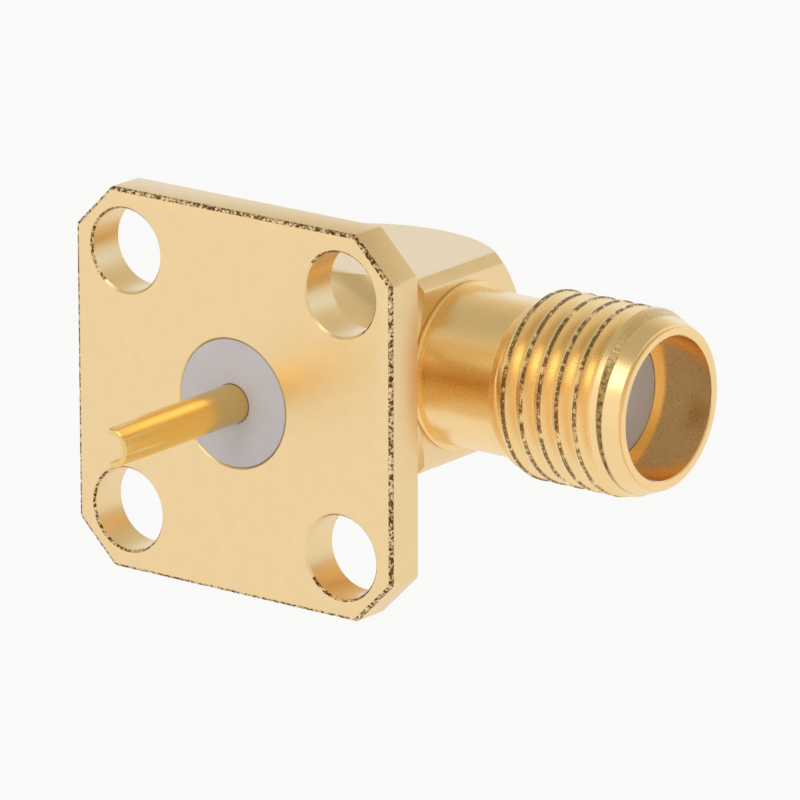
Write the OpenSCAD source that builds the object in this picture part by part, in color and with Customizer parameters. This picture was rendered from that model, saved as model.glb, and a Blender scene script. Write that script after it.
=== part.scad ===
// Right-angle coaxial jack with a square four-hole flange and a solder-cup terminal.
//
// Frame: the origin is the centre of the flange's mounting face. The terminal points
// along -Y, the elbow block stands behind the flange along +Y, the jack points along +X
// and +Z is up. Every length is in millimetres.

/* [Flange] */
// Side of the square flange
flange_w = 12.7; // [11.5:0.1:16]
// Thickness of the flange
flange_t = 1.4; // [1:0.05:2]
// Length cut from the sides at each corner of the flange
corner_cut = 1.43; // [0.5:0.01:1.8]
// Distance between neighbouring screw holes
hole_pitch = 8.64; // [8:0.02:10]
// Diameter of the screw holes
hole_d = 2.75; // [2:0.05:2.8]

/* [Elbow block] */
// Distance from the mounting face to the jack axis
axis_y = 7.9; // [6.4:0.1:12]
// Width of the block along the jack axis
block_w = 6.5; // [5.4:0.1:8]
// Height of the block
block_h = 6.5; // [5.8:0.1:8]
// Flat cut along the four long edges of the block
edge_cut = 0.33; // [0.1:0.01:0.6]
// Distance from the jack axis back to the flat end of the block
block_behind = 3.6; // [3.2:0.1:5]
// Distance from the jack axis forward to the shoulder of the block
block_ahead = 2.1; // [1.6:0.1:2.6]
// Radius of the domed back
dome_r = 5.6; // [4.8:0.05:7]
// Inset of the round hub behind the flange from the block's two side faces
hub_inset = 0.13; // [0.05:0.01:0.5]
// Radius of the fillet that runs from the hub out to the block
hub_fillet = 1.3; // [0.6:0.1:1.6]

/* [Jack barrel] */
// Length of the barrel from the side of the block to its mouth
barrel_l = 8.17; // [7:0.01:12]
// Major diameter of the thread
thread_d = 6.18; // [6:0.01:6.4]
// Wall of the plain neck between the block and the thread
neck_wall = 0.53; // [0.3:0.01:0.6]
// Length of the plain neck, with its collar
neck_l = 3; // [2:0.1:4]
// Rise of the collar that seats on the block, over the neck
collar_rise = 0.17; // [0.1:0.01:0.4]
// Thickness of the collar
collar_t = 0.15; // [0.05:0.05:0.6]
// Length of the bevel at the foot of the thread
foot_l = 0.6; // [0.2:0.05:1]
// Wall of the lip around the mouth
lip_wall = 0.31; // [0.2:0.01:0.5]
// Length of the lip
lip_l = 0.05; // [0.02:0.01:0.4]
// Length of the lead cone in front of the thread
lead_l = 0.95; // [0.3:0.05:1.2]
// Step down from the lead cone to the ring at the mouth
lead_step = 0.09; // [0:0.01:0.2]
// Diameter of the bore at the mouth
mouth_d = 4.6; // [4.5:0.02:4.8]
// Depth of the mouth, down to the insulator and the end of the contact
mouth_depth = 2.05; // [1.6:0.05:2.5]
// Wall of the shank pressed into the block
shank_wall = 0.4; // [0.25:0.01:0.48]

/* [Insulators] */
// Diameter of the insulator in the flange
flange_ins_d = 4.2; // [3.8:0.05:4.6]
// Diameter of the insulator in the jack
jack_ins_d = 4.12; // [3.8:0.02:4.3]
// Width of the ledges in the block that stop the insulators
ledge = 0.26; // [0.1:0.02:0.4]
// Metal left between the flange insulator and the shank of the barrel
seat_web = 0.23; // [0.15:0.01:0.6]

/* [Terminal] */
// Diameter of the terminal
pin_d = 1.28; // [1:0.02:1.5]
// Reach of the terminal in front of the mounting face
pin_reach = 6.15; // [3:0.05:15]
// Wall of the solder cup
cup_wall = 0.17; // [0.1:0.01:0.3]
// Depth of the solder cup
cup_depth = 2.2; // [1:0.1:3]
// Length over which one side of the cup is cut open
cup_open_l = 1.9; // [0.5:0.1:2.8]
// Distance of the cut from the middle of the cup
cup_cut_off = 0.05; // [0:0.05:0.3]
// Rise of the terminal's head over the terminal
head_rise = 0.36; // [0.2:0.02:0.5]
// Length of the head past the jack axis
head_past = 1; // [0.7:0.1:1.4]
// Distance of the terminal's retaining groove behind the mounting face
groove_in = 0.1; // [0.05:0.05:0.5]
// Length of that groove
groove_l = 0.8; // [0.6:0.1:1.5]
// Depth of that groove
groove_depth = 0.19; // [0.16:0.01:0.25]

/* [Jack contact] */
// Outer diameter of the socket contact
contact_d = 1.27; // [1.1:0.01:1.5]
// Diameter of the socket's bore
socket_d = 0.92; // [0.8:0.02:1]
// Depth of the socket's bore
socket_depth = 2.9; // [2:0.1:4]
// Number of slots across the socket's wall
slot_count = 2; // [1:1:3]
// Width of a slot
slot_w = 0.16; // [0.1:0.02:0.3]
// Length of a slot
slot_l = 2.3; // [1:0.1:2.8]
// Rise of the collar that stops the contact
stop_rise = 0.265; // [0.1:0.005:0.4]
// Thickness of that collar
stop_t = 0.4; // [0.2:0.05:0.5]
// Space between that collar and the terminal's head
stop_space = 0.5; // [0.2:0.05:0.8]
// Diameter of the tail that lies in the terminal's slot
tail_d = 0.9; // [0.6:0.05:1]
// Length of the tail past the terminal's axis
tail_past = 0.8; // [0.3:0.1:1.2]

/* [Rear cap] */
// Diameter of the cap pressed into the back of the block
cap_d = 4.4; // [3.8:0.1:5]
// Thickness of the cap
cap_t = 0.9; // [0.4:0.1:1.2]
// Width of the flat land around the cap
cap_land = 0.4; // [0.2:0.05:0.6]
// Bevel around the cap's outer face
cap_bevel = 0.12; // [0.05:0.01:0.3]

/* [Fits] */
// Radial clearance between pressed pieces
fit_gap = 0.01; // [0.005:0.005:0.03]
// Clearance on each side of the tail in the terminal's slot
slot_gap = 0.02; // [0.01:0.01:0.05]

/* [Hidden] */
$fn = 96;

// A length added to cutters so that they pass clear through a face.
past = 0.1;

neck_d = jack_ins_d + 2 * (fit_gap + neck_wall);
collar_d = neck_d + 2 * collar_rise;
shank_d = jack_ins_d + 2 * (fit_gap + shank_wall);
lip_d = mouth_d + 2 * lip_wall;
cavity_d = min(flange_ins_d, jack_ins_d) - 2 * ledge;
cup_d = pin_d - 2 * cup_wall;
head_d = pin_d + 2 * head_rise;
stop_d = contact_d + 2 * stop_rise;

side_x = block_w / 2;
hub_d = block_w - 2 * hub_inset;
mouth_x = side_x + barrel_l;
reference_x = mouth_x - mouth_depth;
thread_start_x = side_x + neck_l + foot_l;
shank_end_x = head_d / 2 + stop_space + stop_t;
shank_l = side_x - shank_end_x;

shoulder_y = axis_y - block_ahead;
block_back = axis_y + block_behind;
land_r = cap_d / 2 + cap_land;
dome_y = block_back - sqrt(dome_r * dome_r - land_r * land_r);
flange_ins_end = axis_y - shank_d / 2 - seat_web;
cap_seat_y = block_back - cap_t;
head_end_y = axis_y + head_past;
slot_half = tail_d / 2 + slot_gap;

gold = "#dcb879";
bright_gold = "#e0b85a";
white_plastic = "#dedce2";

// Turns children from the Z axis onto the Y axis, starting at y.
module along_y(y = 0) {
    translate([0, y, 0]) rotate([-90, 0, 0]) children();
}

// Turns children from the Z axis onto the jack's axis, starting at x.
module along_jack(x = 0) {
    translate([x, axis_y, 0]) rotate([0, 90, 0]) children();
}

// A rectangle with its four corners cut off, drawn about its centre.
module cut_corner_rectangle(w, h, cut) {
    x = w / 2;
    y = h / 2;
    polygon([
        [x - cut, y], [x, y - cut], [x, cut - y], [x - cut, -y],
        [cut - x, -y], [-x, cut - y], [-x, y - cut], [cut - x, y],
    ]);
}

module flange_plate() {
    along_y() linear_extrude(flange_t) cut_corner_rectangle(flange_w, flange_w, corner_cut);
}

// The square block with its domed back, from inside the flange to the flat land.
module block_blank() {
    intersection() {
        along_y(flange_t / 2)
            linear_extrude(block_back - flange_t / 2)
                cut_corner_rectangle(block_w, block_h, edge_cut);
        along_y(dome_y) sphere(dome_r);
    }
}

// Everything outside the hub, with the round groove that blends it into the block.
module hub_relief() {
    hub_r = hub_d / 2;
    groove_y = shoulder_y - hub_fillet;
    outer_r = flange_w;
    along_y(flange_t) rotate_extrude()
        translate([hub_r, 0]) square([outer_r - hub_r, groove_y - flange_t]);
    along_y(groove_y) rotate_extrude()
        translate([hub_r + hub_fillet, 0]) circle(hub_fillet);
}

module screw_holes() {
    for (x = [-1, 1], z = [-1, 1])
        translate([x * hole_pitch / 2, 0, z * hole_pitch / 2])
            along_y(-past) cylinder(d = hole_d, h = flange_t + 2 * past);
}

module body_bores() {
    along_y(-past) cylinder(d = flange_ins_d + 2 * fit_gap, h = flange_ins_end + past);
    along_y(0) cylinder(d = cavity_d, h = block_back);
    along_y(cap_seat_y) cylinder(d = cap_d + 2 * fit_gap, h = cap_t + past);
    along_jack(0) cylinder(d = cavity_d, h = side_x);
    along_jack(shank_end_x) cylinder(d = shank_d + 2 * fit_gap, h = shank_l + past);
}

// Flange, hub and elbow block, machined from one bar.
module body() {
    color(gold) difference() {
        union() {
            flange_plate();
            along_y() cylinder(d = hub_d, h = shoulder_y);
            difference() {
                block_blank();
                hub_relief();
            }
        }
        body_bores();
        screw_holes();
    }
}

// Outline of the barrel's wall: x is the radius, y the distance along the jack's axis.
module barrel_profile() {
    bore_r = jack_ins_d / 2 + fit_gap;
    polygon([
        [bore_r, shank_end_x],
        [shank_d / 2, shank_end_x],
        [shank_d / 2, side_x],
        [collar_d / 2, side_x],
        [collar_d / 2, side_x + collar_t],
        [neck_d / 2, side_x + collar_t],
        [neck_d / 2, side_x + neck_l],
        [thread_d / 2, thread_start_x],
        [thread_d / 2, mouth_x - lip_l - lead_l],
        [lip_d / 2 + lead_step, mouth_x - lip_l],
        [lip_d / 2, mouth_x - lip_l],
        [lip_d / 2, mouth_x],
        [mouth_d / 2, mouth_x],
        [mouth_d / 2, reference_x],
        [bore_r, reference_x],
    ]);
}

// The turned barrel that carries the thread and the mouth, pressed into the block.
module jack_barrel() {
    color(gold) along_jack() rotate_extrude() barrel_profile();
}

// The insulator that fills the flange, flush with the mounting face.
module flange_insulator() {
    color(white_plastic) along_y() difference() {
        cylinder(d = flange_ins_d, h = flange_ins_end);
        translate([0, 0, -past]) cylinder(d = pin_d + 2 * fit_gap, h = flange_ins_end + 2 * past);
    }
}

// The insulator that fills the barrel, from the shank's end to the bottom of the mouth.
module jack_insulator() {
    length = reference_x - shank_end_x;
    color(white_plastic) along_jack(shank_end_x) difference() {
        cylinder(d = jack_ins_d, h = length);
        translate([0, 0, -past]) cylinder(d = contact_d + 2 * fit_gap, h = length + 2 * past);
    }
}

// Slots that split the socket's wall into spring fingers.
module socket_slots() {
    for (i = [0 : slot_count - 1])
        rotate(180 * i / slot_count)
            translate([-contact_d, -slot_w / 2, -slot_l])
                cube([2 * contact_d, slot_w, slot_l + past]);
}

// The socket contact: split fingers at the mouth, a stop collar and a tail at the joint.
module centre_contact() {
    stop_x = shank_end_x - stop_t;
    color(bright_gold) difference() {
        union() {
            along_jack(shank_end_x) cylinder(d = contact_d, h = reference_x - shank_end_x);
            along_jack(stop_x) cylinder(d = stop_d, h = stop_t);
            along_jack(-tail_past) cylinder(d = tail_d, h = stop_x + tail_past);
        }
        along_jack(reference_x - socket_depth) cylinder(d = socket_d, h = socket_depth + past);
        along_jack(reference_x) socket_slots();
    }
}

// The open slot across the terminal's head, in which the tail of the contact lies.
module tail_slot() {
    along_jack(-head_d) cylinder(r = slot_half, h = 2 * head_d);
    translate([-head_d, axis_y, -slot_half]) cube([2 * head_d, head_past + past, 2 * slot_half]);
}

// The groove around the terminal, just inside the insulator, that keeps it from turning.
module retaining_groove() {
    along_y(groove_in) difference() {
        cylinder(d = pin_d + past, h = groove_l);
        translate([0, 0, -past]) cylinder(d = pin_d - 2 * groove_depth, h = groove_l + 2 * past);
    }
}

// The bore of the solder cup and the cut that opens one side of it.
module solder_cup_cutter() {
    along_y(-pin_reach - past) cylinder(d = cup_d, h = cup_depth + past);
    translate([-pin_d - cup_cut_off, -pin_reach - past, -pin_d])
        cube([pin_d, cup_open_l + past, 2 * pin_d]);
}

// The terminal: solder cup in front of the flange, slotted head at the elbow's joint.
module terminal_pin() {
    color(bright_gold) difference() {
        union() {
            along_y(-pin_reach) cylinder(d = pin_d, h = pin_reach + flange_ins_end);
            along_y(flange_ins_end) cylinder(d = head_d, h = head_end_y - flange_ins_end);
        }
        retaining_groove();
        tail_slot();
        solder_cup_cutter();
    }
}

// The disc that closes the soldering hole in the back of the block.
module rear_cap() {
    color(gold) along_y(cap_seat_y) union() {
        cylinder(d = cap_d, h = cap_t - cap_bevel);
        translate([0, 0, cap_t - cap_bevel])
            cylinder(d1 = cap_d, d2 = cap_d - 2 * cap_bevel, h = cap_bevel);
    }
}

body();
jack_barrel();
flange_insulator();
jack_insulator();
centre_contact();
terminal_pin();
rear_cap();
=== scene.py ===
"""Looks of the right-angle flange-mount coaxial jack, built around its CAD frame.

The frame's origin is the centre of the flange's mounting face. The terminal points along
-Y, the elbow block stands behind the flange along +Y, the jack points along +X and +Z is up.
Sizes in the dataclasses are millimetres; meshes are in metres.
"""

import logging
from collections.abc import Callable, Iterable, Sequence
from dataclasses import dataclass
from enum import Enum
from math import atan2, cos, degrees, pi, radians, sin, sqrt, tan
from typing import Any

import bpy
from mathutils import Matrix, Vector


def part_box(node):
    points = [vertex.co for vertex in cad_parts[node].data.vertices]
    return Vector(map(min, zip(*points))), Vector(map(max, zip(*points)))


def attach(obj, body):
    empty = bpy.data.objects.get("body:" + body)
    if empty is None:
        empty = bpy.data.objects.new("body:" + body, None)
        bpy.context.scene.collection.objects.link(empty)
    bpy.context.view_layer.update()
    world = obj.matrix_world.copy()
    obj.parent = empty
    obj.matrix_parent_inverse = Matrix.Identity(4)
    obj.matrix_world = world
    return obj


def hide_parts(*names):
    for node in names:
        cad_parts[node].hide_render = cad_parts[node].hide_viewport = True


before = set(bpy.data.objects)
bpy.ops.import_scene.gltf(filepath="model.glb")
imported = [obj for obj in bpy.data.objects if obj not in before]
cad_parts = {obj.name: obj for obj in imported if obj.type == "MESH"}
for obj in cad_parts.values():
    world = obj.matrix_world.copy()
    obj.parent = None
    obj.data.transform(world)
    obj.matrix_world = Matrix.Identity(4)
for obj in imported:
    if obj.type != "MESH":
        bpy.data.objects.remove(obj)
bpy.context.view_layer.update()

LOG = logging.getLogger("jack")
MM = 0.001
BODY = "root"

# Sizes that more than one class needs, in millimetres.
BLOCK_W = 6.5
THREAD_R = 3.09
PITCH = 0.7056
LAND_X = 10.42
PAST = 0.2  # how far a cutter reaches past the surface that it opens

Point2 = tuple[float, float]
Point3 = tuple[float, float, float]


class Axis(Enum):
    """The two axes that round pieces are turned about."""

    TERMINAL = "terminal"
    JACK = "jack"


@dataclass(frozen=True)
class Places:
    """Where the CAD pieces stand, in millimetres, read from the frame."""

    jack_y: float
    side_x: float
    shank_x: float
    mouth_x: float
    reference_x: float
    flange_half: float
    block_back: float
    insulator_end: float
    cup_tip: float
    head_end: float
    cap_front: float

    @classmethod
    def read(cls) -> "Places":
        """Read every place from the boxes of the CAD nodes.

        Returns:
            The places.
        """
        barrel = [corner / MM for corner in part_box("jack_barrel")]
        body = [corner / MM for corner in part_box("body")]
        cap = [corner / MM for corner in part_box("rear_cap")]
        terminal = [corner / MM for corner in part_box("terminal_pin")]
        flange_plug = [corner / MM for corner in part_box("flange_insulator")]
        jack_plug = [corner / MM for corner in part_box("jack_insulator")]
        return cls(
            jack_y=(barrel[0].y + barrel[1].y) / 2,
            side_x=BLOCK_W / 2,
            shank_x=barrel[0].x,
            mouth_x=barrel[1].x,
            reference_x=jack_plug[1].x,
            flange_half=body[1].x,
            block_back=body[1].y,
            insulator_end=flange_plug[1].y,
            cup_tip=terminal[0].y,
            head_end=terminal[1].y,
            cap_front=cap[0].y,
        )


PLACES = Places.read()


# ---------------------------------------------------------------- modelling by hand


def object_mode() -> None:
    """Leave edit mode if an object is being edited."""
    if bpy.context.object and bpy.context.object.mode != "OBJECT":
        bpy.ops.object.mode_set(mode="OBJECT")


def only(piece: bpy.types.Object) -> bpy.types.Object:
    """Select one piece alone and make it active.

    Args:
        piece: The piece.

    Returns:
        The same piece.
    """
    object_mode()
    bpy.ops.object.select_all(action="DESELECT")
    piece.select_set(True)
    bpy.context.view_layer.objects.active = piece
    return piece


def clear_selection() -> None:
    """Deselect every object, the CAD nodes among them."""
    object_mode()
    bpy.ops.object.select_all(action="DESELECT")


def edit(piece: bpy.types.Object, kind: str = "VERT") -> None:
    """Open a piece in edit mode with one kind of element selectable.

    Args:
        piece: The piece to edit.
        kind: VERT, EDGE or FACE.
    """
    only(piece)
    bpy.ops.object.mode_set(mode="EDIT")
    bpy.ops.mesh.select_mode(type=kind)


def pick_edges(piece: bpy.types.Object, wanted: Callable[[Vector, Vector], bool]) -> int:
    """Select the edges of a piece whose two ends, in millimetres, pass a test.

    Args:
        piece: The piece whose edges are picked. It is left in edit mode, edge select.
        wanted: A test of the two ends.

    Returns:
        How many edges were selected.
    """
    edit(piece, "EDGE")
    bpy.ops.mesh.select_all(action="DESELECT")
    object_mode()
    count = 0
    points = piece.data.vertices
    for edge in piece.data.edges:
        a, b = (points[i].co / MM for i in edge.vertices)
        edge.select = wanted(a, b)
        count += edge.select
    bpy.ops.object.mode_set(mode="EDIT")
    return count


def apply_place(piece: bpy.types.Object) -> None:
    """Put a piece's place, turn and scale into its mesh."""
    only(piece)
    bpy.ops.object.transform_apply(location=True, rotation=True, scale=True)


def mend(piece: bpy.types.Object, merge: float = 1e-7) -> None:
    """Merge doubled points and turn every face outwards.

    Args:
        piece: The piece.
        merge: How near two points are to be one, in metres.
    """
    edit(piece)
    bpy.ops.mesh.select_all(action="SELECT")
    bpy.ops.mesh.remove_doubles(threshold=merge)
    bpy.ops.mesh.normals_make_consistent(inside=False)
    object_mode()


def outline(name: str, points: Sequence[Point2], closed: bool) -> bpy.types.Object:
    """Draw a line of points in the XZ plane, in millimetres, by extruding one vertex.

    Args:
        name: The name of the new object.
        points: Radius and height of each point.
        closed: Whether the last point joins the first.

    Returns:
        The new object, in object mode.
    """
    clear_selection()
    bpy.ops.mesh.primitive_plane_add(size=MM, location=(0, 0, 0))
    piece = bpy.context.object
    piece.name = name
    edit(piece)
    bpy.ops.mesh.select_all(action="SELECT")
    bpy.ops.mesh.merge(type="CENTER")
    bpy.ops.transform.translate(value=(points[0][0] * MM, 0, points[0][1] * MM))
    for (r0, z0), (r1, z1) in zip(points, points[1:]):
        step = ((r1 - r0) * MM, 0, (z1 - z0) * MM)
        bpy.ops.mesh.extrude_region_move(TRANSFORM_OT_translate={"value": step})
    if closed:
        bpy.ops.mesh.select_all(action="SELECT")
        bpy.ops.mesh.edge_face_add()
        bpy.ops.mesh.delete(type="ONLY_FACE")
    object_mode()
    return piece


def stand_on(piece: bpy.types.Object, axis: Axis) -> None:
    """Turn a piece made along Z onto the terminal's or the jack's axis.

    Args:
        piece: The piece.
        axis: The axis that it goes to.
    """
    if axis is Axis.JACK:
        piece.rotation_euler = (0, pi / 2, 0)
        piece.location = (0, PLACES.jack_y * MM, 0)
    else:
        piece.rotation_euler = (-pi / 2, 0, 0)
    apply_place(piece)


def turned(
    name: str, points: Sequence[Point2], axis: Axis, steps: int = 128, closed: bool = True
) -> bpy.types.Object:
    """Turn an outline into a round solid about one of the two axes.

    Args:
        name: The name of the new object.
        points: Radius and place along the axis of each point, in millimetres.
        axis: The axis that the piece is turned about.
        steps: How many faces go round.
        closed: Whether the outline is a closed loop; an open one ends on the axis.

    Returns:
        The new solid, with its faces outwards.
    """
    piece = outline(name, points, closed)
    edit(piece)
    bpy.ops.mesh.select_all(action="SELECT")
    bpy.ops.mesh.spin(steps=steps, angle=2 * pi, center=(0, 0, 0), axis=(0, 0, 1))
    mend(piece)
    stand_on(piece, axis)
    return piece


def cut(
    piece: bpy.types.Object,
    tools: Iterable[bpy.types.Object],
    operation: str = "DIFFERENCE",
) -> bpy.types.Object:
    """Apply boolean tools to a piece one after the other, and remove them.

    Args:
        piece: The piece that is cut.
        tools: The tools, in order.
        operation: DIFFERENCE, UNION or INTERSECT.

    Returns:
        The piece.
    """
    for tool in tools:
        only(piece)
        boolean = piece.modifiers.new("cut", "BOOLEAN")
        boolean.operation = operation
        boolean.solver = "EXACT"
        boolean.object = tool
        bpy.ops.object.modifier_apply(modifier=boolean.name)
        bpy.data.objects.remove(tool)
    return piece


def soften(piece: bpy.types.Object, angle: float = 30) -> None:
    """Shade a piece smooth, except over edges sharper than an angle in degrees."""
    only(piece)
    bpy.ops.object.shade_smooth_by_angle(angle=radians(angle))


def block(name: str, low: Point3, high: Point3) -> bpy.types.Object:
    """Add a cuboid between two corners given in millimetres.

    Args:
        name: The name of the new object.
        low: The corner with the least of each coordinate.
        high: The corner opposite.

    Returns:
        The cuboid.
    """
    clear_selection()
    middle = [(a + b) / 2 * MM for a, b in zip(low, high)]
    bpy.ops.mesh.primitive_cube_add(size=1, location=middle)
    piece = bpy.context.object
    piece.name = name
    piece.scale = [(b - a) * MM for a, b in zip(low, high)]
    apply_place(piece)
    return piece


def arc(centre: Point2, radius: float, start: float, end: float, steps: int) -> list[Point2]:
    """List the points of an arc, its angles in degrees and its ends included."""
    turns = [radians(start + (end - start) * i / steps) for i in range(steps + 1)]
    return [(centre[0] + radius * cos(a), centre[1] + radius * sin(a)) for a in turns]


def dress(piece: bpy.types.Object, *materials: bpy.types.Material) -> None:
    """Give a piece its materials, all faces taking the first.

    Args:
        piece: The piece.
        *materials: Its finishes, in order.
    """
    piece.data.materials.clear()
    for material in materials:
        piece.data.materials.append(material)


def hand_over(piece: bpy.types.Object, slot: str, *nodes: str) -> None:
    """Let a finished piece ride on the body in place of its CAD nodes.

    Args:
        piece: The finished piece.
        slot: The record's material slot; not used.
        *nodes: The CAD nodes that it stands for.
    """
    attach(piece, BODY)
    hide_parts(*nodes)
    LOG.info("%s: %d faces", piece.name, len(piece.data.polygons))


# ---------------------------------------------------------------- shader maths


class Value:
    """A shader socket that adds Math nodes when it is used in an expression."""

    def __init__(self, paint: "Paint", socket: Any) -> None:
        """Keep the material's painter and the socket, or a plain number."""
        self.paint = paint
        self.socket = socket

    def _math(self, operation: str, *others: Any, clamp: bool = False) -> "Value":
        """Add one Math node of an operation on this value and others.

        Args:
            operation: The node's operation.
            *others: Its second and third values.
            clamp: Whether the result is kept between 0 and 1.

        Returns:
            The result.
        """
        inputs = {i: other for i, other in enumerate([self, *others])}
        settings = {"operation": operation, "use_clamp": clamp}
        return self.paint.node("ShaderNodeMath", settings, inputs)

    def __add__(self, other: Any) -> "Value":
        """Add."""
        return self._math("ADD", other)

    def __radd__(self, other: Any) -> "Value":
        """Add, reflected."""
        return self._math("ADD", other)

    def __sub__(self, other: Any) -> "Value":
        """Subtract."""
        return self._math("SUBTRACT", other)

    def __rsub__(self, other: Any) -> "Value":
        """Subtract, reflected."""
        return Value(self.paint, other)._math("SUBTRACT", self)

    def __mul__(self, other: Any) -> "Value":
        """Multiply."""
        return self._math("MULTIPLY", other)

    def __rmul__(self, other: Any) -> "Value":
        """Multiply, reflected."""
        return self._math("MULTIPLY", other)

    def __truediv__(self, other: Any) -> "Value":
        """Divide."""
        return self._math("DIVIDE", other)

    def root(self) -> "Value":
        """Take the square root."""
        return self._math("SQRT")

    def fraction(self) -> "Value":
        """Take the part past the whole number below."""
        return self._math("FRACT")

    def turn_from(self, other: Any) -> "Value":
        """Take the angle whose tangent is this value over another."""
        return self._math("ARCTAN2", other)

    def ramp(self, low: float, high: float) -> "Value":
        """Run smoothly from 0 at one value to 1 at another.

        Args:
            low: The value that gives 0.
            high: The value that gives 1.

        Returns:
            The smooth step.
        """
        settings = {"interpolation_type": "SMOOTHSTEP"}
        ends = {"Value": self, "From Min": low, "From Max": high}
        return self.paint.node("ShaderNodeMapRange", settings, ends)

    def band(self, low: float, high: float, edge: float) -> "Value":
        """Be 1 between two values and 0 outside, over an edge width."""
        return self.ramp(low - edge, low) * (1 - self.ramp(high, high + edge))


class Paint:
    """One material's node tree, with short ways to add nodes to it."""

    def __init__(self, name: str) -> None:
        """Start a material with its output and Principled shader.

        Args:
            name: The material's name.
        """
        self.material = bpy.data.materials.new(name)
        self.material.use_nodes = True
        self.tree = self.material.node_tree
        self.shader = self.tree.nodes["Principled BSDF"]

    def node(
        self,
        kind: str,
        settings: dict[str, Any] | None = None,
        inputs: dict[Any, Any] | None = None,
        output: Any = 0,
    ) -> Value:
        """Add a node, set it up and wrap one of its outputs.

        Args:
            kind: The node's type.
            settings: Its properties, set before its sockets.
            inputs: Values or links for its sockets, by name or number.
            output: The output that is wrapped.

        Returns:
            The wrapped output socket.
        """
        made = self.tree.nodes.new(kind)
        for key, setting in (settings or {}).items():
            setattr(made, key, setting)
        for key, given in (inputs or {}).items():
            self.feed(made.inputs[key], given)
        return Value(self, made.outputs[output])

    def feed(self, socket: Any, given: Any) -> None:
        """Give a socket a link or a constant.

        Args:
            socket: The socket that is fed.
            given: A value of this tree, or a plain one.
        """
        inner = given.socket if isinstance(given, Value) else given
        if isinstance(inner, bpy.types.NodeSocket):
            self.tree.links.new(inner, socket)
        else:
            socket.default_value = inner

    def set(self, **inputs: Any) -> None:
        """Set or link sockets of the shader, with underscores for spaces."""
        for key, given in inputs.items():
            self.feed(self.shader.inputs[key.replace("_", " ")], given)

    def place(self) -> Value:
        """Give the Object coordinates in millimetres.

        Returns:
            The coordinates.
        """
        coordinates = self.node("ShaderNodeTexCoord", output="Object")
        scale = (1 / MM, 1 / MM, 1 / MM)
        return self.node("ShaderNodeMapping", {}, {"Vector": coordinates, "Scale": scale})

    def parts(self, vector: Value) -> tuple[Value, Value, Value]:
        """Split a vector into its three values.

        Args:
            vector: The vector.

        Returns:
            Its X, Y and Z.
        """
        made = self.tree.nodes.new("ShaderNodeSeparateXYZ")
        self.feed(made.inputs[0], vector)
        return tuple(Value(self, out) for out in made.outputs)

    def join(self, x: Any, y: Any, z: Any) -> Value:
        """Join three values into a vector."""
        return self.node("ShaderNodeCombineXYZ", {}, {0: x, 1: y, 2: z})

    def noise(
        self, where: Value, scale: float, detail: float = 2, rough: float = 0.5
    ) -> Value:
        """Give fractal noise about 0.5, with its scale in cells a millimetre."""
        inputs = {"Vector": where, "Scale": scale, "Detail": detail, "Roughness": rough}
        return self.node("ShaderNodeTexNoise", {}, inputs)

    def mix(self, share: Any, first: Any, second: Any) -> Value:
        """Mix two colours by a share."""
        settings = {"data_type": "RGBA", "clamp_factor": True}
        return self.node("ShaderNodeMix", settings, {0: share, 6: first, 7: second}, 2)

    def bump(self, height: Value, depth: float, strength: float = 1.0) -> Value:
        """Turn a height into a normal, with the depth of one unit in millimetres."""
        inputs = {"Height": height, "Distance": depth * MM, "Strength": strength}
        return self.node("ShaderNodeBump", {}, inputs)


Colour = tuple[float, float, float, float]


def tint(red: float, green: float, blue: float) -> Colour:
    """Give a colour written in screen values of 0 to 255 as linear light.

    Args:
        red: The share of red.
        green: The share of green.
        blue: The share of blue.

    Returns:
        The linear colour, opaque.
    """

    def linear(part: float) -> float:
        """Undo the screen's curve for one of the three values."""
        part /= 255
        return part / 12.92 if part <= 0.04045 else ((part + 0.055) / 1.055) ** 2.4

    return linear(red), linear(green), linear(blue), 1.0


class Sky(Paint):
    """The world's node tree, with the same short ways to add nodes."""

    def __init__(self, tree: bpy.types.NodeTree) -> None:
        """Keep the tree."""
        self.tree = tree


class Lay(Enum):
    """Which way the tool marks run."""

    NONE = "none"
    TURNED_JACK = "turned about the jack"
    TURNED_TERMINAL = "turned about the terminal"


@dataclass(frozen=True)
class GoldPlate:
    """Gold plating over machined brass."""

    name: str
    colour: Colour
    roughness: float
    lay: Lay
    marks: float = 0.002
    grain: float = 0.0015
    mottle: float = 0.97
    rings: float = 16

    def height(self, paint: Paint, where: Value, fine: Value) -> Value:
        """Give the height of the tool marks and grain, in thousandths of a millimetre.

        Args:
            paint: The material's painter.
            where: The place in millimetres.
            fine: The fine grain.

        Returns:
            The height.
        """
        height = fine * (self.grain * 1000)
        if self.lay is Lay.NONE:
            return height
        x, y, z = paint.parts(where)
        along, across = (x, y - PLACES.jack_y) if self.lay is Lay.TURNED_JACK else (y, x)
        radius = (across * across + z * z).root()
        rings = paint.join(along * self.rings, radius * self.rings, 0.0)
        return height + paint.noise(rings, 1, 3, 0.6) * (self.marks * 1000)

    def roughen_and_paint_light(self, paint: Paint, where: Value, colour: Value, height: Value) -> tuple[Value, Value]:
        """Leave the colour and the height as they are; the kinds with rough edges and painted light
        change them.
        """
        return colour, height

    def build(self) -> bpy.types.Material:
        """Build the material.

        Returns:
            The finished material.
        """
        paint = Paint(self.name)
        where = paint.place()
        fine = paint.noise(where, 14, 4, 0.6)
        broad = paint.noise(where, 1.7, 3, 0.6)
        shade = tuple(part * self.mottle for part in self.colour[:3]) + (1.0,)
        colour = paint.mix(broad.ramp(0.3, 0.7), shade, self.colour)
        height = self.height(paint, where, fine)
        colour, height = self.roughen_and_paint_light(paint, where, colour, height)
        paint.set(
            Base_Color=colour,
            Roughness=self.roughness + (fine - 0.5) * 0.12,
            Metallic=1.0,
            Normal=paint.bump(height, 0.001),
        )
        return paint.material


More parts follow.
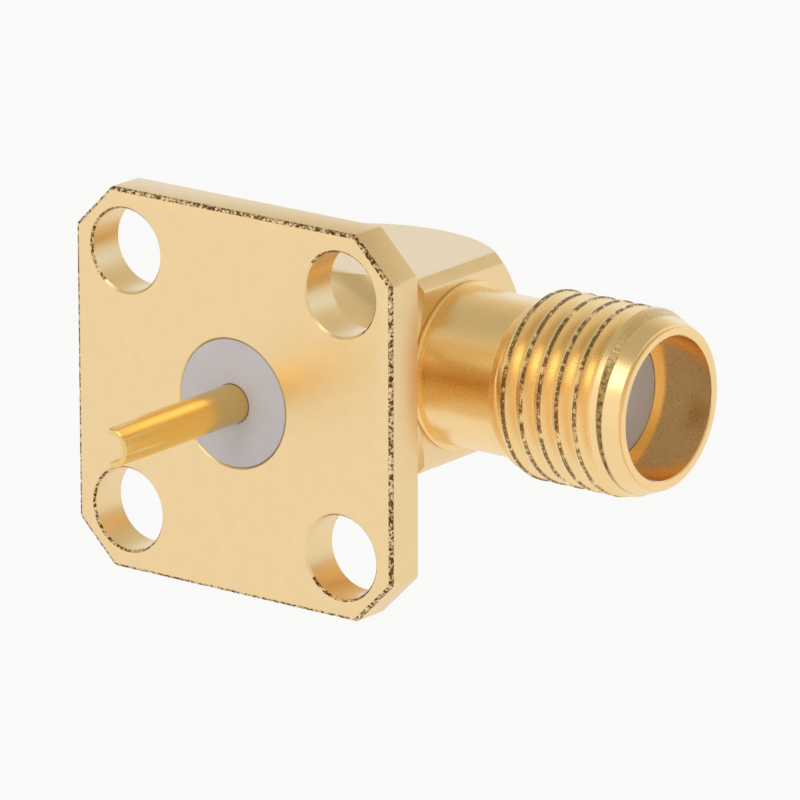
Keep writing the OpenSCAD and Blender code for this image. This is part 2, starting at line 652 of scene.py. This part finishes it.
@dataclass(frozen=True)
class BurrAndEdgeLightPlate(GoldPlate):
    """Plating over a rough, burred edge, with a painted dark reflection in its pits and painted
    highlights on its specks.
    """

    # Dark of the edge: a painted dark reflection drawing the edge line, mixed with the real pits.
    pit_and_painted_shade: Colour = tint(96, 62, 24)
    # Painted highlight: the bright glints on the edge's specks.
    painted_glint: Colour = tint(255, 236, 184)

    def roughen_and_paint_light(self, paint: Paint, where: Value, colour: Value, height: Value) -> tuple[Value, Value]:
        """Break the edge up into pits of painted dark reflection and specks of painted highlight, over
        a rough bump.

        Args:
            paint: The material's painter.
            where: The place in millimetres.
            colour: The plain colour.
            height: The plain height.

        Returns:
            The worn colour and height.
        """
        crumbs = paint.noise(where, 9, 3, 0.65)
        # Paint the dark reflection into the pits along the edge.
        colour = paint.mix(crumbs.ramp(0.42, 0.6), self.pit_and_painted_shade, colour)
        # Paint the glints, a painted highlight, onto the specks.
        colour = paint.mix(crumbs.ramp(0.6, 0.68), colour, self.painted_glint)
        return colour, height + crumbs * 60


@dataclass(frozen=True)
class ThreadPlate(GoldPlate):
    """Plating over the barrel, with painted highlight lines and painted dark reflection on its ragged
    crests, and painted shade over its rough last land.
    """

    # Dark end of the crests and the land: painted dark reflection on the crests, painted shade on the
    # land.
    pit_and_painted_shade: Colour = tint(92, 66, 28)
    # Light end of the land's painted shade.
    pale_land_shade: Colour = tint(176, 146, 92)
    # Painted highlight: the cream lines along the crest edges.
    bright: Colour = tint(255, 240, 196)
    pitch: float = PITCH
    crest_x: float = 6.81
    land_x: float = LAND_X
    land_end: float = 10.85

    def roughen_and_paint_light(self, paint: Paint, where: Value, colour: Value, height: Value) -> tuple[Value, Value]:
        """Paint highlights and dark reflection on the crests along the helix, and a shade band on the
        land in front of it.

        Args:
            paint: The material's painter.
            where: The place in millimetres.
            colour: The plain colour.
            height: The plain height.

        Returns:
            The worn colour and height.
        """
        x, y, z = paint.parts(where)
        y = y - PLACES.jack_y
        radius = (y * y + z * z).root()
        turn = (y * -1).turn_from(z) / (2 * pi)
        crumbs = paint.noise(where, 7, 4, 0.7)
        soft = paint.noise(where, 2.2, 3, 0.6)
        phase = ((x - self.crest_x) / self.pitch - turn + (crumbs - 0.5) * 0.06).fraction()
        threaded = x.band(6.7, 10.35, 0.1)
        crest = radius.ramp(2.96, 3.03) * threaded
        # Ragged patches on the crests: real roughness in the bump, painted dark reflection in the
        # colour.
        rough_crest_and_shade = crest * phase.band(0.08, 0.2, 0.03) * soft.ramp(0.36, 0.5)
        # Painted highlight lines along both edges of each crest.
        line = crest * phase.ramp(0.96, 0.99) + crest * (1 - phase.ramp(0.05, 0.08))
        start = turn * self.pitch + self.land_x
        land = (x - start).ramp(0.07, 0.12) * (1 - x.ramp(self.land_end - 0.03, self.land_end + 0.02))
        # The land is painted darker on its sides, where z is near zero: painted shade.
        side = (z / 3.09).band(-0.45, 0.45, 0.35)
        land = land * radius.ramp(2.8, 2.86)
        # Paint the highlight lines along the crests.
        colour = paint.mix(line * 0.6, colour, self.bright)
        # Paint the dark reflection on the ragged crests.
        colour = paint.mix(rough_crest_and_shade * crumbs.ramp(0.35, 0.5) * 0.85, colour, self.pit_and_painted_shade)
        # Painted shade of the land, with a mottle from noise between its dark and light ends.
        mottled_land_shade = paint.mix(crumbs.ramp(0.4, 0.6), self.pit_and_painted_shade, self.pale_land_shade)
        colour = paint.mix(land * (side * 0.75 + 0.2), colour, mottled_land_shade)
        return colour, height + crumbs * (land * 40 + rough_crest_and_shade * 25)


@dataclass(frozen=True)
class Fluoropolymer:
    """Smooth white insulating plastic."""

    name: str
    colour: Colour
    roughness: float = 0.42

    def build(self) -> bpy.types.Material:
        """Build the material.

        Returns:
            The finished material.
        """
        paint = Paint(self.name)
        where = paint.place()
        broad = paint.noise(where, 0.8, 3, 0.5)
        shade = tuple(part * 0.96 for part in self.colour[:3]) + (1.0,)
        paint.set(
            Base_Color=paint.mix(broad.ramp(0.35, 0.65), shade, self.colour),
            Roughness=self.roughness + (broad - 0.5) * 0.1,
            Normal=paint.bump(paint.noise(where, 9, 3, 0.5), 0.002),
            Subsurface_Weight=0.15,
            Subsurface_Radius=(1.0, 0.95, 0.9),
            Subsurface_Scale=0.0006,
            IOR=1.36,
        )
        return paint.material


# ---------------------------------------------------------------- the pieces


@dataclass
class Body:
    """Flange, hub and elbow block, machined from one bar."""

    flange_t: float = 1.4
    corner_cut: float = 1.43
    hole_pitch: float = 8.64
    hole_d: float = 2.75
    hole_break: float = 0.07
    corner_round: float = 0.08
    edge_break: float = 0.12
    back_break: float = 0.03
    block_w: float = BLOCK_W
    block_h: float = 6.5
    block_cut: float = 0.33
    block_round: float = 0.035
    shoulder_y: float = 5.8
    dome_r: float = 5.6
    land_r: float = 2.6
    hub_r: float = 3.12
    hub_fillet: float = 1.3
    insulator_bore: float = 4.22
    bore_break: float = 0.06
    barrel_bore: float = 4.96
    cap_bore: float = 4.42
    cavity_r: float = 1.8
    relief_r: float = 12.0
    # Width of the burred band that carries the painted dark edge line and glints.
    burr_and_edge_light_w: float = 0.3
    corner_share: float = 1.38

    def flange(self) -> bpy.types.Object:
        """Make the flange plate with its cut corners and broken edges.

        Returns:
            The plate.
        """
        half = PLACES.flange_half
        plate = block("body_metal", (-half, 0, -half), (half, self.flange_t, half))
        pick_edges(plate, lambda a, b: abs(a.y - b.y) > 1)
        bpy.ops.mesh.bevel(offset=self.corner_cut * MM, segments=1)
        pick_edges(plate, lambda a, b: abs(a.y - b.y) > 1)
        bpy.ops.mesh.bevel(offset=self.corner_round * MM, segments=3)
        pick_edges(plate, lambda a, b: max(a.y, b.y) < 0.001)
        bpy.ops.mesh.bevel(offset=self.edge_break * MM, segments=2)
        pick_edges(plate, lambda a, b: min(a.y, b.y) > self.flange_t - 0.001)
        bpy.ops.mesh.bevel(offset=self.back_break * MM, segments=1)
        object_mode()
        return plate

    def elbow(self) -> bpy.types.Object:
        """Make the square block with its domed back and the relief round the hub.

        Returns:
            The block.
        """
        back = PLACES.block_back
        x, z = self.block_w / 2, self.block_h / 2
        piece = block("elbow", (-x, self.flange_t / 2, -z), (x, back, z))
        pick_edges(piece, lambda a, b: abs(a.y - b.y) > 1)
        bpy.ops.mesh.bevel(offset=self.block_cut * MM, segments=1)
        pick_edges(piece, lambda a, b: abs(a.y - b.y) > 1)
        bpy.ops.mesh.bevel(offset=self.block_round * MM, segments=2)
        object_mode()
        dome_y = back - sqrt(self.dome_r**2 - self.land_r**2)
        edge = degrees(atan2(back - dome_y, self.land_r))
        dome = [(0, dome_y - self.dome_r - 1), (self.dome_r, dome_y - self.dome_r - 1)]
        dome += arc((0, dome_y), self.dome_r, 0, edge, 24) + [(0, back)]
        shell = turned("dome", dome, Axis.TERMINAL, 160, closed=False)
        cut(piece, [shell], "INTERSECT")
        groove_y = self.shoulder_y - self.hub_fillet
        low, outer = self.flange_t / 2 - PAST, self.relief_r
        relief = [(self.hub_r, low), (outer, low), (outer, groove_y)]
        centre = (self.hub_r + self.hub_fillet, groove_y)
        relief += arc(centre, self.hub_fillet, 0, 180, 28)
        cut(piece, [turned("relief", relief, Axis.TERMINAL, 160)])
        return piece

    def bore(self, name: str, radius: float, low: float, high: float, axis: Axis) -> bpy.types.Object:
        """Make a plain round cutter between two places along an axis."""
        return turned(name, [(0, low), (radius, low), (radius, high), (0, high)], axis, 128, False)

    def screw_hole(self, x: float, z: float) -> bpy.types.Object:
        """Make the cutter of one screw hole with its broken rims.

        Args:
            x: The hole's place along X, in millimetres.
            z: Its place along Z.

        Returns:
            The cutter.
        """
        r, b, t = self.hole_d / 2, self.hole_break, self.flange_t
        rim = r + b + PAST
        points = [(0, -PAST), (rim, -PAST), (r, b), (r, t - b), (rim, t + PAST), (0, t + PAST)]
        cutter = turned("screw_hole", points, Axis.TERMINAL, 96, False)
        cutter.location = (x * MM, 0, z * MM)
        apply_place(cutter)
        return cutter

    def burr_and_edge_light(self, metal: bpy.types.Object) -> None:
        """Give the broken edge round the flange's face the burred finish, with its painted dark edge
        line and painted glints.

        Args:
            metal: The finished body, dressed with the plain and the burred finish.
        """
        inner = PLACES.flange_half - self.burr_and_edge_light_w
        for face in metal.data.polygons:
            middle = face.center / MM
            x, z = abs(middle.x), abs(middle.z)
            slant = abs(face.normal.y) < 0.999 and face.normal.y < -0.05
            if slant and middle.y < self.edge_break and max(x, z, (x + z) / self.corner_share) > inner:
                face.material_index = 1

    def build(self) -> bpy.types.Object:
        """Make the whole body.

        Returns:
            The finished body.
        """
        plate = self.flange()
        hub = self.bore("hub", self.hub_r, self.flange_t / 2, self.shoulder_y, Axis.TERMINAL)
        cut(plate, [hub, self.elbow()], "UNION")
        r, b = self.insulator_bore / 2, self.bore_break
        end, back, side = PLACES.insulator_end, PLACES.block_back, PLACES.side_x
        mouth = [(0, -PAST), (r + b + PAST, -PAST), (r, b), (r, end), (0, end)]
        cap_r, shank_r = self.cap_bore / 2, self.barrel_bore / 2
        tools = [
            turned("insulator_bore", mouth, Axis.TERMINAL, 128, False),
            self.bore("elbow_bore", self.cavity_r, 0.5, back, Axis.TERMINAL),
            self.bore("cap_bore", cap_r, PLACES.cap_front, back + 1, Axis.TERMINAL),
            self.bore("jack_bore", self.cavity_r, 0, side, Axis.JACK),
            self.bore("barrel_bore", shank_r, PLACES.shank_x, side + 1, Axis.JACK),
        ]
        place = self.hole_pitch / 2
        tools += [self.screw_hole(x * place, z * place) for x in (-1, 1) for z in (-1, 1)]
        cut(plate, tools)
        mend(plate, 1e-8)
        soften(plate, 32)
        hand_over(plate, "gold_plating", "body")
        return plate


@dataclass
class Barrel:
    """The turned barrel with its neck, thread and mouth."""

    thread_r: float = THREAD_R
    root_r: float = 2.7
    pitch: float = PITCH
    crest_w: float = 0.12
    crest_round: float = 0.04
    groove_x: float = 7.223
    turn_in: float = -1.0
    turn_out: float = 4.75
    ramp_turns: float = 0.35
    neck_r: float = 2.6
    neck_end: float = 6.25
    thread_start: float = 6.85
    collar_r: float = 2.77
    collar_t: float = 0.15
    land_x: float = LAND_X
    pilot_x: float = 10.83
    pilot_r: float = 2.89
    pilot_end_x: float = 11.34
    pilot_end_r: float = 2.7
    lip_r: float = 2.61
    shank_r: float = 2.47
    mouth_r: float = 2.34
    mouth_break: float = 0.04
    insulator_r: float = 2.07

    def blank(self) -> bpy.types.Object:
        """Turn the barrel before its thread is cut.

        Returns:
            The smooth barrel.
        """
        side, mouth = PLACES.side_x, PLACES.mouth_x
        b = self.mouth_break
        points = [
            (self.insulator_r, PLACES.shank_x),
            (self.shank_r, PLACES.shank_x),
            (self.shank_r, side),
            (self.collar_r - 0.04, side),
            (self.collar_r, side + 0.04),
            (self.collar_r, side + self.collar_t - 0.04),
            (self.collar_r - 0.04, side + self.collar_t),
            (self.neck_r, side + self.collar_t),
            (self.neck_r, self.neck_end - 0.06),
            (self.neck_r + 0.03, self.neck_end),
            (self.thread_r - 0.03, self.thread_start - 0.03),
            (self.thread_r, self.thread_start + 0.02),
            (self.thread_r, self.land_x),
            (self.pilot_r, self.pilot_x),
            (self.pilot_r - 0.01, self.pilot_x + 0.04),
            (self.pilot_end_r, self.pilot_end_x),
            (self.pilot_end_r - 0.03, self.pilot_end_x + 0.02),
            (self.lip_r, self.pilot_end_x + 0.02),
            (self.lip_r, mouth - 0.03),
            (self.lip_r - 0.03, mouth),
            (self.mouth_r + b, mouth),
            (self.mouth_r, mouth - b),
            (self.mouth_r, PLACES.reference_x),
            (self.insulator_r, PLACES.reference_x),
        ]
        return turned("jack_barrel_metal", points, Axis.JACK, 160)

    def groove(self) -> bpy.types.Object:
        """Sweep the V tool that cuts the thread along its right-hand helix.

        The tool comes in and goes out along a ramp, so the groove fades at both ends.

        Returns:
            The swept tool, about the jack's axis.
        """
        outer = self.thread_r + 0.07
        slope = tan(radians(30))
        half = (self.pitch - self.crest_w) / 2
        flat = half - (self.thread_r - self.root_r) * slope
        shoulder = half - self.crest_round * slope
        side = [
            (outer, half + 0.05),
            (self.thread_r - 0.3 * self.crest_round, half - 0.005),
            (self.thread_r - self.crest_round, shoulder),
            (self.root_r + 0.05, flat + 0.03),
            (self.root_r + 0.01, flat - 0.02),
        ]
        points = [(r, -z) for r, z in side] + [(r, z) for r, z in reversed(side)]
        turns = self.turn_out - self.turn_in
        start = self.groove_x + self.turn_in * self.pitch
        tool = outline("thread_tool", [(r, start + z) for r, z in points], True)
        steps = int(128 * turns)
        only(tool)
        screw = tool.modifiers.new("sweep", "SCREW")
        screw.axis = "Z"
        screw.angle = 2 * pi * turns
        screw.screw_offset = self.pitch * turns * MM
        screw.steps = screw.render_steps = steps
        bpy.ops.object.modifier_apply(modifier=screw.name)
        self.ramp_ends(tool, len(points))
        edit(tool, "EDGE")
        bpy.ops.mesh.select_all(action="DESELECT")
        bpy.ops.mesh.select_non_manifold()
        bpy.ops.mesh.fill_holes(sides=0)
        mend(tool)
        tool.rotation_euler = (0, 0, 2 * pi * (self.turn_in - 0.5))
        apply_place(tool)
        stand_on(tool, Axis.JACK)
        return tool

    def ramp_ends(self, tool: bpy.types.Object, ring: int) -> None:
        """Lift the rings of the swept tool outwards towards both of its ends.

        Args:
            tool: The swept tool, its points in order ring after ring.
            ring: How many points each ring has.
        """
        rings = len(tool.data.vertices) // ring
        count = int(self.ramp_turns * 128)
        for i in range(count):
            share = (1 - i / count) ** 1.5
            grow = 1 + share * (self.thread_r + 0.1 - self.root_r) / self.root_r
            edit(tool)
            bpy.ops.mesh.select_all(action="DESELECT")
            object_mode()
            for end in (i, rings - 1 - i):
                for k in range(end * ring, (end + 1) * ring):
                    tool.data.vertices[k].select = True
            bpy.ops.object.mode_set(mode="EDIT")
            bpy.ops.transform.resize(value=(grow, grow, 1), center_override=(0, 0, 0))
        object_mode()

    def build(self) -> bpy.types.Object:
        """Make the whole barrel.

        Returns:
            The finished barrel.
        """
        barrel = cut(self.blank(), [self.groove()])
        mend(barrel, 1e-8)
        soften(barrel, 24)
        hand_over(barrel, "gold_plating", "jack_barrel")
        return barrel


@dataclass
class Terminal:
    """The terminal with its half-open solder cup."""

    radius: float = 0.64
    head_r: float = 1.0
    cup_r: float = 0.47
    cup_depth: float = 2.2
    open_l: float = 1.9
    cut_off: float = 0.05
    tip_break: float = 0.03

    def build(self) -> bpy.types.Object:
        """Make the terminal.

        Returns:
            The finished terminal.
        """
        tip, r, b = PLACES.cup_tip, self.radius, self.tip_break
        end = PLACES.insulator_end
        points = [
            (0, tip),
            (r - b, tip),
            (r, tip + b),
            (r, end),
            (self.head_r, end),
            (self.head_r, PLACES.head_end),
            (0, PLACES.head_end),
        ]
        pin = turned("terminal_metal", points, Axis.TERMINAL, 96, False)
        depth = tip + self.cup_depth
        hollow = [(0, tip - 0.2), (self.cup_r, tip - 0.2), (self.cup_r, depth), (0, depth + 0.15)]
        cup = turned("cup", hollow, Axis.TERMINAL, 96, False)
        side = block("cup_side", (-2, tip - 0.2, -2), (-self.cut_off, tip + self.open_l, 2))
        cut(pin, [cup, side])
        mend(pin, 1e-8)
        soften(pin, 30)
        hand_over(pin, "contact_plating", "terminal_pin")
        return pin


@dataclass
class Insulators:
    """The two white plugs."""

    flange_r: float = 2.1
    jack_r: float = 2.06
    pin_r: float = 0.65
    contact_r: float = 0.645
    edge: float = 0.04

    def build(self) -> list[bpy.types.Object]:
        """Make both plugs.

        Returns:
            The flange's plug and the jack's.
        """
        e, end = self.edge, PLACES.insulator_end
        flange_points = [
            (self.pin_r, 0.02),
            (self.pin_r + 0.02, 0.0),
            (self.flange_r - e, 0.0),
            (self.flange_r - 0.3 * e, 0.3 * e),
            (self.flange_r, e),
            (self.flange_r, end),
            (self.pin_r, end),
        ]
        flange = turned("flange_insulator_plug", flange_points, Axis.TERMINAL, 128)
        low, high = PLACES.shank_x, PLACES.reference_x
        jack_points = [
            (self.contact_r, low),
            (self.jack_r, low),
            (self.jack_r, high - e),
            (self.jack_r - e, high),
            (self.contact_r, high),
        ]
        jack = turned("jack_insulator_plug", jack_points, Axis.JACK, 128)
        for piece, node in ((flange, "flange_insulator"), (jack, "jack_insulator")):
            soften(piece, 40)
            hand_over(piece, "insulator", node)
        return [flange, jack]


@dataclass
class Contact:
    """The slotted socket contact behind the mouth."""

    radius: float = 0.635
    bore_r: float = 0.46
    bore_depth: float = 2.9
    slot_w: float = 0.16
    slot_l: float = 2.3
    stop_r: float = 0.9
    stop_t: float = 0.4
    tail_r: float = 0.45
    tail_past: float = 0.8

    def build(self) -> bpy.types.Object:
        """Make the contact.

        Returns:
            The finished contact.
        """
        high, low = PLACES.reference_x, PLACES.shank_x
        floor = high - self.bore_depth
        points = [
            (0, -self.tail_past),
            (self.tail_r, -self.tail_past),
            (self.tail_r, low - self.stop_t),
            (self.stop_r, low - self.stop_t),
            (self.stop_r, low),
            (self.radius, low),
            (self.radius, high - 0.05),
            (self.radius - 0.05, high),
            (self.bore_r + 0.05, high),
            (self.bore_r, high - 0.05),
            (self.bore_r, floor),
            (0, floor),
        ]
        contact = turned("centre_contact_metal", points, Axis.JACK, 96, False)
        y, w = PLACES.jack_y, self.slot_w / 2
        tools = [
            block("slot", (high - self.slot_l, y - 1, -w), (high + 1, y + 1, w)),
            block("slot", (high - self.slot_l, y - w, -1), (high + 1, y + w, 1)),
        ]
        cut(contact, tools)
        mend(contact, 1e-8)
        soften(contact, 30)
        hand_over(contact, "contact_plating", "centre_contact")
        return contact


@dataclass
class RearCap:
    """The disc pressed into the back of the block."""

    radius: float = 2.2
    bevel: float = 0.12

    def build(self) -> bpy.types.Object:
        """Make the cap.

        Returns:
            The finished cap.
        """
        low, high = PLACES.cap_front, PLACES.block_back
        points = [
            (0, low),
            (self.radius, low),
            (self.radius, high - self.bevel),
            (self.radius - self.bevel * 0.35, high - self.bevel * 0.35),
            (self.radius - self.bevel, high),
            (0.12, high),
            (0, high - 0.06),
        ]
        cap = turned("rear_cap_metal", points, Axis.TERMINAL, 128, False)
        soften(cap, 35)
        hand_over(cap, "gold_plating", "rear_cap")
        return cap


# ---------------------------------------------------------------- the set


@dataclass(frozen=True)
class Lamp:
    """One soft studio lamp."""

    name: str
    place: Point3
    aim: Point3
    size: float
    power: float
    colour: Point3 = (1.0, 1.0, 1.0)

    def build(self) -> None:
        """Hang the lamp."""
        data = bpy.data.lights.new(self.name, "AREA")
        data.shape = "SQUARE"
        data.size = self.size
        data.energy = self.power
        data.color = self.colour
        lamp = bpy.data.objects.new(self.name, data)
        bpy.context.scene.collection.objects.link(lamp)
        lamp.location = self.place
        turn = (Vector(self.aim) - Vector(self.place)).to_track_quat("-Z", "Y")
        lamp.rotation_euler = turn.to_euler()


LAMPS = (
    Lamp("lamp_front", (0.0, -0.42, 0.42), (0, 0.004, 0), 0.3, 0.5),
)


@dataclass
class Studio:
    """Floor, world, lamps and camera."""

    azimuth: float = 0.65196
    elevation: float = 0.28831
    roll: float = -0.0016165
    distance: float = 293.0
    focal: float = 9222.06
    shift_x: float = 5.321
    shift_z: float = 0.1134
    floor_z: float = -55.0

    def camera(self) -> None:
        """Stand the camera at the real viewing angle."""
        a, e, t = self.azimuth, self.elevation, self.roll
        back = Vector((sin(a) * cos(e), -cos(a) * cos(e), sin(e)))
        right = Vector((cos(a), sin(a), 0))
        up = back.cross(right)
        right, up = right * cos(t) + up * sin(t), up * cos(t) - right * sin(t)
        place = right * self.shift_x + up * self.shift_z + back * self.distance
        data = bpy.data.cameras.new("camera")
        data.sensor_width = 36
        data.lens = self.focal * 36 / 800
        data.clip_start = 0.01
        data.clip_end = 10
        camera = bpy.data.objects.new("camera", data)
        bpy.context.scene.collection.objects.link(camera)
        turn = Matrix((right, up, back)).transposed().to_4x4()
        camera.matrix_world = Matrix.Translation(place * MM) @ turn
        bpy.context.scene.camera = camera

    def floor(self) -> None:
        """Lay the pale floor, which the camera and shiny surfaces see as white."""
        clear_selection()
        bpy.ops.mesh.primitive_plane_add(size=6, location=(0, 0, self.floor_z * MM))
        sheet = bpy.context.object
        sheet.name = "floor"
        paint = Paint("floor_white")
        paint.set(Base_Color=(0.85, 0.85, 0.85, 1), Roughness=0.9)
        path = paint.tree.nodes.new("ShaderNodeLightPath")
        seen = Value(paint, path.outputs["Is Camera Ray"])
        for kind in ("Is Glossy Ray", "Is Transmission Ray"):
            seen = seen + Value(paint, path.outputs[kind])
        white = paint.node("ShaderNodeEmission", {}, {"Color": (1, 1, 1, 1), "Strength": 1.0})
        plain = Value(paint, paint.shader.outputs[0])
        both = paint.node("ShaderNodeMixShader", {}, {0: seen * 0.88, 1: plain, 2: white})
        paint.feed(paint.tree.nodes["Material Output"].inputs["Surface"], both)
        sheet.data.materials.append(paint.material)

    def world(self) -> None:
        """Surround the object with a soft sky, white low down and greyer overhead."""
        world = bpy.data.worlds.new("studio")
        bpy.context.scene.world = world
        world.use_nodes = True
        sky = Sky(world.node_tree)
        x, y, z = sky.parts(sky.node("ShaderNodeTexCoord", output="Generated"))
        back = sky.mix(y.ramp(0.1, 0.7), (1.0, 0.98, 0.95, 1), (0.92, 1.04, 1.26, 1))
        low = sky.mix(z.ramp(-0.02, 0.06), (1, 1, 1, 1), back)
        right = sky.mix(x.ramp(0.6, 0.95) * z.ramp(-0.02, 0.08), low, (0.5, 0.45, 0.4, 1))
        high = sky.mix(z.ramp(0.34, 0.55), right, (0.76, 0.70, 0.54, 1))
        top = sky.mix(z.ramp(0.58, 0.85), high, (0.52, 0.50, 0.42, 1))
        sky.feed(world.node_tree.nodes["Background"].inputs["Color"], top)

    def build(self) -> None:
        """Set up everything round the object."""
        bpy.context.scene.view_settings.view_transform = "Standard"
        self.camera()
        self.floor()
        self.world()
        for lamp in LAMPS:
            lamp.build()


def main() -> None:
    """Build the jack, dress it and set up the studio."""
    logging.basicConfig(level=logging.INFO, format="%(name)s: %(message)s")
    gold = tint(246, 217, 166)
    barrel_gold = tint(253, 219, 160)
    pin_gold = tint(240, 205, 128)
    satin = GoldPlate("gold_satin", gold, 0.33, Lay.NONE)
    turned_gold = ThreadPlate("gold_turned", barrel_gold, 0.28, Lay.TURNED_JACK)
    bright = GoldPlate("gold_bright", pin_gold, 0.2, Lay.TURNED_TERMINAL)
    # Burred edge: rough bump, with painted dark reflection and painted glints in its colour.
    burr_and_edge_light = BurrAndEdgeLightPlate("gold_burred_edge_light", gold, 0.4, Lay.NONE)
    white = Fluoropolymer("white_plastic", tint(209, 205, 212))
    made: dict[str, bpy.types.Material] = {
        finish.name: finish.build() for finish in (satin, turned_gold, bright, burr_and_edge_light, white)
    }
    body = Body()
    metal = body.build()
    dress(metal, made["gold_satin"], made["gold_burred_edge_light"])
    body.burr_and_edge_light(metal)
    dress(Barrel().build(), made["gold_turned"])
    dress(Terminal().build(), made["gold_bright"])
    for plug in Insulators().build():
        dress(plug, made["white_plastic"])
    dress(Contact().build(), made["gold_bright"])
    dress(RearCap().build(), made["gold_satin"])
    Studio().build()


if __name__ == "__main__":
    main()
